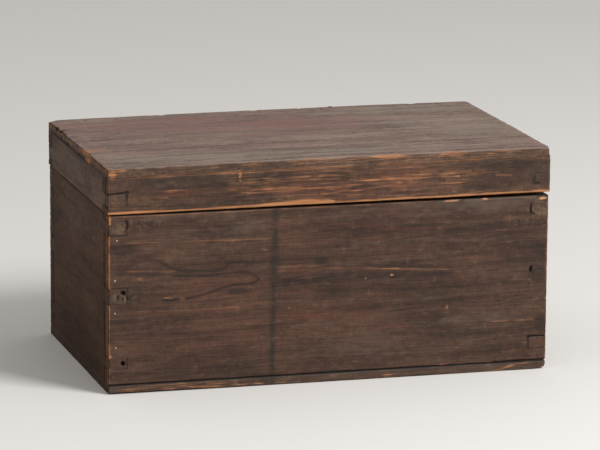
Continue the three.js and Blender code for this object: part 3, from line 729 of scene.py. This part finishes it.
def rounded_plan(points, body):
    """Rounds the upright corners of the base or the lid in plan."""
    low, high = BODY_BOX[body]
    points = points.copy()
    for sx in (-1, 1):
        for sy in (-1, 1):
            r = LID_CORNERS.get((sx, sy), PLAIN_CORNER) if body == "lid" else PLAIN_CORNER
            corner = np.array([high[X] if sx > 0 else -low[X], high[Y] if sy > 0 else -low[Y]])
            plan = points[:, :2] * (sx, sy) - (corner - r)
            inside = (plan > 0).all(1)
            out = plan[inside]
            scale = out.max(1) / np.maximum(np.hypot(*out.T), 1e-9)
            points[inside, :2] = (out * scale[:, None] + corner - r) * (sx, sy)
    return points


def grain_relief(body, points, grain, end_axis, seed):
    """Inward shift of the outer faces: fine ridges along the grain, rougher pits on end grain."""
    shift = np.zeros(points.shape)
    s, t, w = grain.T
    ridges = 0.5 + 0.5 * noise(s / 70, (t + w) / 2.3, seed) + 0.3 * noise(s / 34, (t + w) / 1.2, seed + 1)
    swell = 0.5 + 0.5 * noise(s / 90, t / 40, seed + 2)
    pits = 0.5 + 0.5 * noise(t / 2.4, w / 2.0, seed + 3) + 0.4 * noise(t / 1.1, w / 5, seed + 4)
    for _, _, depth, inward in side_places(body, points).values():
        on_side = depth < 0.05
        is_end = inward[end_axis] != 0
        amount = 0.10 + 0.34 * pits if is_end else 0.04 + 0.13 * ridges + 0.16 * swell
        shift += np.outer(np.where(on_side, amount, 0), inward)
    return shift


def lid_askew(points):
    """How far each point of the lid is raised: it sits askew, and its top board is crowned."""
    low, high = BODY_BOX["lid"]
    along = ((points[:, X] - low[X]) / (high[X] - low[X])).clip(0, 1)
    lift = LID_LIFT[0] + (LID_LIFT[1] - LID_LIFT[0]) * along
    top_low = box_mm("lid_top_board")[0][Z]
    share = ((points[:, Z] - top_low) / (high[Z] - top_low)).clip(0, 1)
    return lift + TOP_CROWN * share * (1 - (2 * along - 1) ** 2)


def outline_of(node, axes):
    """The rectangles that make up a board's outline, in its own plane."""
    low, high = box_mm(node)
    a, b = axes[0], axes[1]
    body, side = node.split("_")[:2]
    whole = (low[a], high[a], low[b], high[b])
    if not node.startswith(("base_", "lid_")) or side in ("top", "bottom"):
        return [whole]
    reach = WALL + GAP
    if side in ("front", "back"):
        made = [(low[a] + reach, high[a] - reach, low[b], high[b])]
        for end, inner, outer in (("left", low[a] + reach, low[a]), ("right", high[a] - reach, high[a])):
            for under, over in between_fingers(f"{body}_{end}", low[b], high[b]):
                made.append((min(inner, outer), max(inner, outer), under, over))
        return made
    made = [(low[a] + reach, high[a] - reach, low[b], high[b])]
    for under, over in FINGERS[f"{body}_{side}"]:
        made.append((low[a], high[a], under + SEAM, over - SEAM))
    return made


def write_mesh(name, points, quads, attributes, vectors):
    mesh = bpy.data.meshes.new(name)
    mesh.vertices.add(len(points))
    mesh.vertices.foreach_set("co", (points * MM).astype(np.float32).ravel())
    mesh.loops.add(quads.size)
    mesh.loops.foreach_set("vertex_index", quads.astype(np.int32).ravel())
    mesh.polygons.add(len(quads))
    mesh.polygons.foreach_set("loop_start", np.arange(0, quads.size, 4, dtype=np.int32))
    mesh.update(calc_edges=True)
    mesh.validate()
    mesh.polygons.foreach_set("use_smooth", np.ones(len(mesh.polygons), bool))
    for key, values in attributes.items():
        made = mesh.attributes.new(key, "FLOAT", "POINT")
        made.data.foreach_set("value", values.astype(np.float32))
    for key, values in vectors.items():
        made = mesh.attributes.new(key, "FLOAT_VECTOR", "POINT")
        made.data.foreach_set("vector", values.astype(np.float32).ravel())
    made = bpy.data.objects.new(name, mesh)
    bpy.context.scene.collection.objects.link(made)
    return made


def board(node, body, axes, outward, radii, materials, seed, steps, extra=None):
    """One worn plank in place of its CAD node. `axes` are its grain, width and thickness axes, and
    `outward` is the direction along the thickness axis that its show face looks in."""
    low, high = box_mm(node)
    a, b, c = axes
    outline = outline_of(node, axes)
    along = grid_lines([stop for part in outline for stop in part[:2]], steps[0], 0.5)
    across = grid_lines([stop for part in outline for stop in part[2:]], steps[1], 0.5)
    through = grid_lines([low[c], high[c]], steps[2], 0.5)
    if outward < 0:
        through = through[::-1]
    odd = axes in ((X, Z, Y), (Y, X, Z), (Z, Y, X))
    local, quads = shell(outline, along, across, through, flip=odd == (outward > 0))
    points = np.empty(local.shape)
    points[:, [a, b, c]] = local
    rng = np.random.default_rng(seed)
    grain = local + rng.uniform(100, 900, 3)
    values, cuts = apply_marks(body, points)
    below = np.min([depth for _, _, depth, _ in side_places(body, points).values()], axis=0)
    if node.startswith("base_") and "bottom" not in node:
        below = points_below_walls(points)
    values["inside"] = np.clip(below / (high[c] - low[c]) * 1.25 - 0.1, 0, 1)
    # the lid's upper face, which the top's material paints lighter: weathering, painted light and a painted
    # sheen
    values["upper"] = np.clip(1 - (BODY_BOX["lid"][1][Z] - points[:, Z]) / 1.2, 0, 1)
    ends = np.minimum(points[:, a] - low[a], high[a] - points[:, a])
    values["end"] = np.clip(1 - ends / 0.8, 0, 1)
    shaped = rounded(points, low, high, radii, seed)
    shaped = shaped + grain_relief(body, points, grain, a, seed) + cuts
    shaped = rounded_plan(shaped, body)
    if extra:
        shaped = extra(points, shaped)
    if body == "lid":
        shaped[:, Z] += lid_askew(points)
    piece = write_mesh(f"{node}_worn", shaped, quads, values, {"grain": grain})
    for material in materials:
        piece.data.materials.append(material)
    if len(materials) > 1:
        at_end = (values["end"][quads] > 0.5).all(1)
        piece.data.polygons.foreach_set("material_index", at_end.astype(np.int32))
    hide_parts(node)
    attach(piece, body)


# ---- materials -----------------------------------------------------------------------------------


def slanted(graph, place):
    """The grain's own place, slanted a little so that marks across the grain lean."""
    return graph.vector("ADD", place, graph.vector("MULTIPLY", graph.swapped(place), (0.35, 0, 0)))


def toned(share, colour):
    """The colour made darker, or lighter where `share` is above 1."""
    return tuple(share * value for value in colour)


class Graph:
    """A material's node tree, with short calls for the nodes that the woods and metals share."""

    def __init__(self, name):
        self.material = bpy.data.materials.new(name)
        self.material.use_nodes = True
        self.tree = self.material.node_tree
        self.shader = self.tree.nodes["Principled BSDF"]

    def link(self, source, target):
        if isinstance(source, bpy.types.NodeSocket):
            self.tree.links.new(source, target)
        elif isinstance(source, (tuple, list)) and len(target.default_value) == 4:
            target.default_value = (*source, 1) if len(source) == 3 else source
        else:
            target.default_value = source

    def attribute(self, name, output="Fac"):
        node = self.tree.nodes.new("ShaderNodeAttribute")
        node.attribute_name = name
        return node.outputs[output]

    def math(self, operation, first, second=0.0, clamp=False):
        node = self.tree.nodes.new("ShaderNodeMath")
        node.operation = operation
        node.use_clamp = clamp
        self.link(first, node.inputs[0])
        self.link(second, node.inputs[1])
        return node.outputs[0]

    def add(self, *parts, clamp=False):
        total = parts[0]
        for part in parts[1:]:
            total = self.math("ADD", total, part, clamp)
        return total

    def times(self, first, second, clamp=False):
        return self.math("MULTIPLY", first, second, clamp)

    def swing(self, noise, share):
        """A noise's distance from its middle, times `share`."""
        return self.times(self.math("SUBTRACT", noise, 0.5), share)

    def vector(self, operation, first, second):
        node = self.tree.nodes.new("ShaderNodeVectorMath")
        node.operation = operation
        self.link(first, node.inputs[0])
        self.link(second, node.inputs[1])
        return node.outputs[0]

    def swapped(self, place):
        """The place with its width coordinate moved to the first axis."""
        apart = self.tree.nodes.new("ShaderNodeSeparateXYZ")
        together = self.tree.nodes.new("ShaderNodeCombineXYZ")
        self.link(place, apart.inputs[0])
        self.link(apart.outputs["Y"], together.inputs["X"])
        return together.outputs[0]

    def noise(self, place, stretch, detail=3.0, roughness=0.55, offset=0.0):
        """Noise whose features are about `stretch` millimetres long on each axis."""
        moved = self.vector("ADD", place, (offset, offset, offset))
        scaled = self.vector("DIVIDE", moved, stretch)
        node = self.tree.nodes.new("ShaderNodeTexNoise")
        node.inputs["Scale"].default_value = 1.0
        node.inputs["Detail"].default_value = detail
        node.inputs["Roughness"].default_value = roughness
        self.tree.links.new(scaled, node.inputs["Vector"])
        return node.outputs["Fac"]

    def between(self, value, low, high):
        """0 below low, 1 above high, smooth between them."""
        node = self.tree.nodes.new("ShaderNodeMapRange")
        node.interpolation_type = "SMOOTHSTEP"
        self.link(value, node.inputs["Value"])
        node.inputs["From Min"].default_value = low
        node.inputs["From Max"].default_value = high
        return node.outputs["Result"]

    def mix(self, amount, first, second, blend="MIX"):
        node = self.tree.nodes.new("ShaderNodeMix")
        node.data_type = "RGBA"
        node.blend_type = blend
        self.link(amount, node.inputs["Factor"])
        self.link(first, node.inputs["A"])
        self.link(second, node.inputs["B"])
        return node.outputs["Result"]

    def bump(self, height, strength, distance):
        node = self.tree.nodes.new("ShaderNodeBump")
        node.inputs["Strength"].default_value = strength
        node.inputs["Distance"].default_value = distance * MM
        self.link(height, node.inputs["Height"])
        self.link(node.outputs["Normal"], self.shader.inputs["Normal"])


INNER_WOOD = (0.33, 0.20, 0.11)
INNER_SHADE = (0.22, 0.125, 0.066)
ORANGE = (0.50, 0.215, 0.088)
PEACH = (0.58, 0.28, 0.150)
ROUGH = (0.135, 0.084, 0.050)
STAIN = (0.42, 0.58, 0.64)  # multiplies the wood's own colour
RED = (0.105, 0.034, 0.020)
# tone of the dust marks, which also paint a sheen on the upper parts of the sides
DUST_AND_SHEEN = (0.120, 0.084, 0.060)
BLACK = (0.006, 0.004, 0.003)
FRONT_SHINE = 0.3
SIDE_SHINE = 0.05


def stained_wood(name, dark, mid, light, wear_bias=0.0, dust=DUST_AND_SHEEN, red=RED, rough=0.62, *, shine,
                 contrast=1.0, ends=None, upper=None):
    """Old stained plank. `dark`, `mid` and `light` are its three tones, `ends` the dark and light tone
    of its end grain, and `upper` the three tones of an upper face that is weathered, and lighter and
    greyer with painted light from above and a painted sheen."""
    end_dark, end_light = ends or (toned(0.80, dark), toned(1.25, mid))
    g = Graph(name)
    grain = g.attribute("grain", "Vector")
    drift = g.noise(grain, (260, 60, 60), 2.0)
    bend = g.swing(drift, 24.0)
    combine = g.tree.nodes.new("ShaderNodeCombineXYZ")
    g.link(bend, combine.inputs["Y"])
    bent = g.vector("ADD", grain, combine.outputs[0])
    figure = g.noise(bent, (520, 9, 14), 4.0, 0.62)
    fibre = g.noise(bent, (40, 1.2, 1.2), 3.0, 0.62, offset=37)
    hair = g.noise(grain, (18, 0.55, 0.55), 2.0, 0.6, offset=71)
    cloud = g.noise(grain, (70, 34, 34), 3.0, 0.55, offset=113)
    patch = g.noise(grain, (30, 13, 13), 3.0, 0.6, offset=171)

    comb = g.noise(grain, (2.2, 8, 8), 3.0, 0.65, offset=303)
    mottle = g.noise(grain, (9, 5, 5), 3.0, 0.6, offset=409)
    speckle = g.noise(grain, (2.2, 1.1, 1.1), 2.0, 0.6, offset=517)
    tone = g.swing(figure, 0.30)
    shares = ((fibre, 0.36), (cloud, 0.28), (mottle, 0.24), (comb, 0.15), (speckle, 0.16), (hair, 0.10))
    for part, share in shares:
        tone = g.add(tone, g.swing(part, share))
    tone = g.add(g.times(tone, contrast), 0.5)
    # the upper face takes its own lighter, greyer tones: weathering, and painted light and a painted sheen
    if upper:
        on_top = g.attribute("upper")
        dark, mid, light = (g.mix(on_top, edge, top) for edge, top in zip((dark, mid, light), upper))
    colour = g.mix(g.between(tone, 0.38, 0.53), dark, mid)
    colour = g.mix(g.between(tone, 0.50, 0.66), colour, light)

    red_mask = g.add(g.times(g.attribute("red"), 0.55), g.math("SUBTRACT", fibre, 0.62))
    red_mask = g.add(red_mask, g.swing(cloud, 0.9))
    colour = g.mix(g.between(red_mask, -0.10, 0.75), colour, red)
    # dust, and the painted sheen that some dust marks stand for
    broken = g.times(g.attribute("dust"), g.times(g.add(patch, mottle), 1.1))
    dust_and_sheen_mask = g.add(broken, g.swing(patch, 1.8))
    dust_and_sheen_mask = g.add(dust_and_sheen_mask, g.swing(hair, 0.8))
    colour = g.mix(g.times(g.between(dust_and_sheen_mask, 0.0, 1.5), 0.75), colour, dust)

    # end grain is darker and speckled, not streaked
    pores = g.noise(grain, (3, 1.4, 1.1), 2.0, 0.7, offset=251)
    end_colour = g.mix(g.between(pores, 0.32, 0.68), end_dark, end_light)
    colour = g.mix(g.times(g.attribute("end"), 0.7), colour, end_colour)

    scuff = g.between(g.noise(slanted(g, grain), (0.9, 8, 8), 2.0, 0.5, offset=619), 0.60, 0.74)
    scuff = g.times(scuff, g.between(cloud, 0.46, 0.66))
    scuffed = light if upper else toned(1.5, light)
    colour = g.mix(g.times(scuff, 0.5), colour, scuffed)
    stained = g.times(g.attribute("stain"), g.add(0.5, mottle))
    colour = g.mix(stained, colour, STAIN, "MULTIPLY")
    rubbed = g.add(g.attribute("rough"), g.swing(speckle, 2.0))
    rubbed = g.add(rubbed, g.swing(mottle, 1.6))
    rough_tone = g.mix(g.between(comb, 0.36, 0.62), toned(0.5, ROUGH), ROUGH)
    colour = g.mix(g.between(rubbed, 0.30, 1.15), colour, dust if upper else rough_tone)

    shade = g.times(g.attribute("dark"), g.add(0.15, g.times(fibre, 1.6)))
    colour = g.mix(g.times(shade, 1.05, clamp=True), colour, BLACK)

    # bared wood, broken up by the fibres
    streak = g.add(g.times(fibre, 0.55), g.times(hair, 0.45))
    streak = g.math("SUBTRACT", streak, 0.5)
    bared = g.add(g.attribute("wear"), g.times(streak, 1.9))
    bared = g.add(bared, g.swing(patch, 0.5))
    bared = g.add(bared, wear_bias)
    bare_tone = g.mix(g.between(fibre, 0.35, 0.68), toned(0.55, ORANGE), ORANGE)
    colour = g.mix(g.between(bared, 0.36, 1.12), colour, bare_tone)
    whole = g.times(g.attribute("thread"), g.add(0.4, g.times(patch, 1.2)))
    colour = g.mix(g.between(whole, 0.06, 1.30), colour, bare_tone)
    chipped = g.add(g.attribute("pale"), g.swing(hair, 1.0))
    chipped = g.add(chipped, g.swing(mottle, 1.2))
    colour = g.mix(g.between(chipped, 0.22, 0.85), colour, PEACH)

    # the strongest dark marks turn black: joints and cracks, and the painted shade in holes and under the lid
    deep = g.between(g.attribute("dark"), 0.85, 1.6)
    colour = g.mix(deep, colour, BLACK)

    # the unstained inside
    inner_tone = g.add(g.times(figure, 0.6), g.times(fibre, 0.4))
    inner = g.mix(g.between(inner_tone, 0.36, 0.62), INNER_SHADE, INNER_WOOD)
    inner = g.mix(g.times(g.between(cloud, 0.45, 0.8), 0.5), inner, mid)
    inside = g.add(g.attribute("inside"), g.swing(patch, 0.8))
    colour = g.mix(g.between(inside, 0.35, 0.75), colour, inner)
    g.link(colour, g.shader.inputs["Base Color"])

    gloss = g.add(rough - 0.14, g.times(patch, 0.16))
    gloss = g.add(gloss, g.times(hair, 0.12))
    g.link(g.add(gloss, g.times(g.between(bared, 0.4, 1.0), 0.14), clamp=True),
           g.shader.inputs["Roughness"])
    g.shader.inputs["Specular IOR Level"].default_value = shine
    height = g.add(g.times(fibre, 0.6), g.times(hair, 0.5))
    height = g.math("SUBTRACT", height, g.times(g.attribute("dark"), 0.5))
    g.bump(height, 0.75, 0.45)
    return g.material


def stained_pair(name, *tones, shine, end_shine, **looks):
    """A board's material, and the one of its end grain, which lies on the sides next to its own."""
    return [stained_wood(name, *tones, shine=shine, **looks),
            stained_wood(f"{name}_ends", *tones, shine=end_shine, **looks)]


def raw_wood(name, shade, light, stretch=(180, 3.2, 3.2)):
    """Unstained wood or bamboo, darkened by age."""
    g = Graph(name)
    grain = g.attribute("grain", "Vector")
    figure = g.noise(grain, stretch, 3.0, 0.6)
    fibre = g.noise(grain, (30, 0.8, 0.8), 3.0, 0.6, offset=37)
    cloud = g.noise(grain, (60, 20, 20), 3.0, 0.5, offset=91)
    tone = g.add(g.times(figure, 0.6), g.times(fibre, 0.4))
    colour = g.mix(g.between(tone, 0.34, 0.64), shade, light)
    shadow = toned(0.5, shade)
    colour = g.mix(g.times(g.between(cloud, 0.45, 0.75), 0.45), colour, shadow)
    g.link(colour, g.shader.inputs["Base Color"])
    g.link(g.add(0.6, g.times(fibre, 0.25)), g.shader.inputs["Roughness"])
    g.shader.inputs["Specular IOR Level"].default_value = 0.35
    g.bump(g.add(g.times(fibre, 0.7), g.times(figure, 0.5)), 0.6, 0.3)
    return g.material


def metal(name, clean, rust, rust_share, roughness):
    """Iron or steel: `rust_share` from 0, bright, to 1, rusted all over."""
    g = Graph(name)
    place = g.attribute("grain", "Vector")
    coarse = g.noise(place, (2.2, 2.2, 2.2), 4.0, 0.65)
    fine = g.noise(place, (0.5, 0.5, 0.5), 3.0, 0.6, offset=19)
    rusty = g.between(g.add(coarse, rust_share - 0.5), 0.42, 0.62)
    colour = g.mix(rusty, clean, g.mix(fine, toned(0.5, rust), rust))
    g.link(colour, g.shader.inputs["Base Color"])
    g.link(g.math("SUBTRACT", 1.0, rusty), g.shader.inputs["Metallic"])
    rough = g.add(roughness, g.times(rusty, 0.35), clamp=True)
    g.link(rough, g.shader.inputs["Roughness"])
    g.bump(g.add(coarse, g.times(fine, 0.5)), 0.7, 0.25)
    return g.material


FRONT_ENDS = ((0.038, 0.018, 0.011), (0.090, 0.047, 0.030))
FRONT_WOOD = stained_pair(
    "stained_front", (0.032, 0.015, 0.0085), (0.062, 0.030, 0.018), (0.108, 0.058, 0.037), contrast=1.05,
    shine=FRONT_SHINE, end_shine=SIDE_SHINE)
LID_WOOD = stained_pair(
    "stained_lid", (0.033, 0.0165, 0.0096), (0.075, 0.0375, 0.0222), (0.133, 0.071, 0.042), wear_bias=0.065,
    contrast=1.0, shine=FRONT_SHINE, end_shine=SIDE_SHINE)
SIDE_WOOD = stained_pair(
    "stained_side", (0.036, 0.0165, 0.0084), (0.064, 0.0305, 0.0165), (0.104, 0.055, 0.0330), wear_bias=-0.1,
    contrast=0.85, ends=FRONT_ENDS, shine=SIDE_SHINE, end_shine=FRONT_SHINE)
LID_SIDE_WOOD = stained_pair(
    "stained_lid_side", (0.048, 0.026, 0.016), (0.090, 0.052, 0.034), (0.140, 0.088, 0.060), wear_bias=-0.05,
    contrast=1.0, ends=FRONT_ENDS, shine=0.09, end_shine=FRONT_SHINE)
# the top: its upper face's tones, and its dust and red tones, are lighter and greyer than the other boards',
# partly from weathering and partly painted light from above and a painted sheen
TOP_WOOD = stained_pair(
    "weathered_top", (0.036, 0.019, 0.012), (0.078, 0.041, 0.025), (0.140, 0.078, 0.048),
    wear_bias=-0.03, dust=(0.240, 0.190, 0.150), red=(0.200, 0.105, 0.090), rough=0.66, contrast=1.0,
    upper=((0.100, 0.062, 0.047), (0.198, 0.133, 0.106), (0.322, 0.225, 0.180)),
    shine=FRONT_SHINE, end_shine=0.1)
UNDER_WOOD = stained_pair(
    "stained_bottom", (0.038, 0.021, 0.014), (0.074, 0.041, 0.026), (0.130, 0.077, 0.050),
    shine=FRONT_SHINE, end_shine=SIDE_SHINE)
LIP_WOOD = [raw_wood("raw_lip", INNER_SHADE, INNER_WOOD)]
PEG_BAMBOO = raw_wood("bamboo", (0.075, 0.050, 0.036), (0.150, 0.104, 0.074), (40, 0.7, 0.7))
LIP_BAMBOO = raw_wood("bamboo_inside", (0.20, 0.13, 0.07), (0.36, 0.25, 0.13), (40, 0.7, 0.7))
IRON = metal("rusty_iron", (0.16, 0.14, 0.13), (0.16, 0.065, 0.035), 0.75, 0.5)
STEEL = metal("bright_steel", (0.55, 0.53, 0.48), (0.20, 0.14, 0.10), 0.42, 0.4)


# ---- the pieces ----------------------------------------------------------------------------------

EASE = 1.3  # outer arrises
JOINT = 0.35  # arrises that meet another board
HIDDEN = 0.5  # arrises of a board's inner face
FOOT = 0.9  # lower arrises, and the base's rim
SIDE_SEED = 10  # from the front board's seed to the left board's


def worn_bottom(points, shaped):
    """The bottom board's lower front arris is worn up at its left, and its right end is worn round."""
    low, high = box_mm("base_bottom_board")
    x = points[:, X]
    front = np.clip(1 - (points[:, Y] - low[Y]) / 9, 0, 1)
    under = np.clip(1 - points[:, Z] / 5, 0, 1)
    left = np.clip((low[X] + 150 - x) / 150, 0, 1)
    right = np.clip((x - high[X] + 16) / 16, 0, 1)
    shaped = shaped.copy()
    shaped[:, Z] += front * under * (1.7 * left + 2.6 * right**2 + 0.35 * noise(x / 17, x / 90, 5))
    shaped[:, X] -= 1.6 * right * np.abs(points[:, Z] / high[Z] - 0.6)
    return shaped


def boards():
    # radii by axis, for the low and the high face along it
    for body, wood, side_wood, fine, coarse, seed in (
        ("base", FRONT_WOOD, SIDE_WOOD, (2.2, 0.95, 1.0), (3.0, 1.3, 1.0), 11),
        ("lid", LID_WOOD, LID_SIDE_WOOD, (1.6, 0.75, 1.0), (2.4, 1.1, 1.0), 51),
    ):
        heights = (FOOT, FOOT if body == "base" else JOINT)
        for number, outward in enumerate((-1, 1)):
            depth = (EASE, HIDDEN) if outward < 0 else (HIDDEN, EASE)
            board(f"{body}_{('front', 'back')[number]}_board", body, (X, Z, Y), outward,
                  [(EASE, EASE), depth, heights], wood, seed + number,
                  fine if outward < 0 else coarse)
        for number, outward in enumerate((-1, 1)):
            depth = (EASE, HIDDEN) if outward < 0 else (HIDDEN, EASE)
            board(f"{body}_{('left', 'right')[number]}_board", body, (Y, Z, X), outward,
                  [depth, (EASE, EASE), heights], side_wood,
                  seed + SIDE_SEED + number, coarse)
    board("base_bottom_board", "base", (X, Y, Z), -1, [(1.6, 2.2), (1.4, 1.4), (1.0, 0.9)],
          UNDER_WOOD, 31, (3.0, 3.0, 0.8), worn_bottom)
    board("lid_top_board", "lid", (X, Y, Z), 1, [(1.6, 1.6), (1.5, 1.2), (0.5, 1.8)],
          TOP_WOOD, 33, (2.4, 1.3, 0.7))


def lips():
    for number, (side, axes, outward) in enumerate((
        ("front", (X, Z, Y), -1), ("back", (X, Z, Y), 1), ("left", (Y, Z, X), -1), ("right", (Y, Z, X), 1),
    )):
        radii = [(0.6, 0.6), (0.6, 0.6), (0.5, 1.6)]
        radii[axes[2]] = (1.9, 0.9) if outward < 0 else (0.9, 1.9)
        board(f"lip_{side}", "base", axes, outward, radii, LIP_WOOD, 61 + number, (5.0, 1.6, 1.5))


def turned(node, body, profile, into, material, seed, rough, sides=28):
    """A nail, brad or peg: `profile` lists (radius, depth) from the head's middle to the point, and
    `into` is the axis and sign of the way into the wood."""
    low, high = box_mm(node)
    axis, sign = into
    middle = (low + high) / 2
    head = low[axis] if sign > 0 else high[axis]
    rng = np.random.default_rng(seed)
    lumps = rng.uniform(-1, 1, (3, 2))
    angles = np.arange(sides) * 2 * math.pi / sides
    turns = [(k + 2) * angles for k in range(3)]
    wobble = sum(lumps[k, 0] * np.cos(turn) + lumps[k, 1] * np.sin(turn) for k, turn in enumerate(turns))
    u, v = [k for k in (X, Y, Z) if k != axis]
    rings = [(r, d) for r, d in profile if r > 0]
    points = []
    for radius, depth in rings:
        ring = np.tile(middle, (sides, 1))
        ring[:, u] += radius * (1 + rough * wobble) * np.cos(angles)
        ring[:, v] += radius * (1 + rough * wobble) * np.sin(angles)
        ring[:, axis] = head + sign * depth
        points.append(ring)
    poles = []
    for _, depth in (profile[0], profile[-1]):
        pole = middle.copy()
        pole[axis] = head + sign * depth
        poles.append(pole)
    points = np.vstack([*points, *poles])
    count = len(rings) * sides
    faces = []
    for k in range(len(rings) - 1):
        for i in range(sides):
            j = (i + 1) % sides
            faces.append((k * sides + i, k * sides + j, (k + 1) * sides + j, (k + 1) * sides + i))
    for i in range(sides):
        j = (i + 1) % sides
        faces.append((count, j, i))
        faces.append((count + 1, count - sides + i, count - sides + j))
    mesh = bpy.data.meshes.new(f"{node}_worn")
    placed = points.copy()
    if body == "lid":
        placed[:, Z] += lid_askew(placed)
    mesh.from_pydata((placed * MM).tolist(), [], faces)
    mesh.polygons.foreach_set("use_smooth", np.ones(len(mesh.polygons), bool))
    grain = np.empty(points.shape)
    grain[:, 0] = points[:, axis]
    grain[:, 1] = points[:, u] + 20 * seed
    grain[:, 2] = points[:, v]
    made = mesh.attributes.new("grain", "FLOAT_VECTOR", "POINT")
    made.data.foreach_set("vector", grain.astype(np.float32).ravel())
    piece = bpy.data.objects.new(f"{node}_worn", mesh)
    bpy.context.scene.collection.objects.link(piece)
    outward_faces(mesh)
    mesh.materials.append(material)
    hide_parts(node)
    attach(piece, body)


def outward_faces(mesh):
    work = bmesh.new()
    work.from_mesh(mesh)
    bmesh.ops.recalc_face_normals(work, faces=work.faces)
    work.to_mesh(mesh)
    work.free()


def nail_profile(head, shank, thick, length, point, dome):
    return [
        (0, 0), (0.5 * head, 0.08 * dome), (0.82 * head, 0.35 * dome), (head, dome), (0.97 * head, thick),
        (1.15 * shank, thick + 0.1), (shank, thick + 0.8), (0.95 * shank, length - point),
        (0.5 * shank, length - 0.4 * point), (0.1, length - 0.1), (0, length),
    ]


def peg_profile(radius, tip, length):
    return [
        (0, -0.12), (0.7 * radius, -0.1), (0.93 * radius, 0.0), (radius, 0.25), (0.9 * radius, 0.5 * length),
        (tip, length - 0.6), (0.7 * tip, length - 0.1), (0, length),
    ]


# Each kind of fastener: body, profile, way in, material, slot and unevenness.
FASTENERS = {
    "bottom_nail": ("base", nail_profile(2.2, 1.1, 0.85, 23.9, 4, 0.3), (Z, 1), IRON, "iron", 0.06),
    "rear_edge_nail": ("lid", nail_profile(2.2, 1.1, 0.9, 23.9, 4, 0.45), (Z, -1), IRON, "iron", 0.09),
    "corner_brad": ("base", nail_profile(0.8, 0.6, 0.55, 29.9, 3, 0.25), (Y, 1), STEEL, "steel", 0.05),
    "top_peg": ("lid", peg_profile(1.5, 1.05, 29.9), (Z, -1), PEG_BAMBOO, "bamboo", 0.03),
}
for side, way in (("front", (Y, -1)), ("back", (Y, 1)), ("left", (X, -1)), ("right", (X, 1))):
    FASTENERS[f"lip_peg_{side}"] = ("base", peg_profile(1.2, 0.85, 15.9), way, LIP_BAMBOO, "bamboo", 0.03)


def fasteners():
    bodies = frame["record"]["behaviour"]["bodies"].values()
    for seed, node in enumerate(sorted(name for names in bodies for name in names)):
        for start, (body, profile, into, material, slot, rough) in FASTENERS.items():
            if node.startswith(start):
                turned(node, body, profile, into, material, seed, rough)


camera()
studio()
boards()
lips()
fasteners()
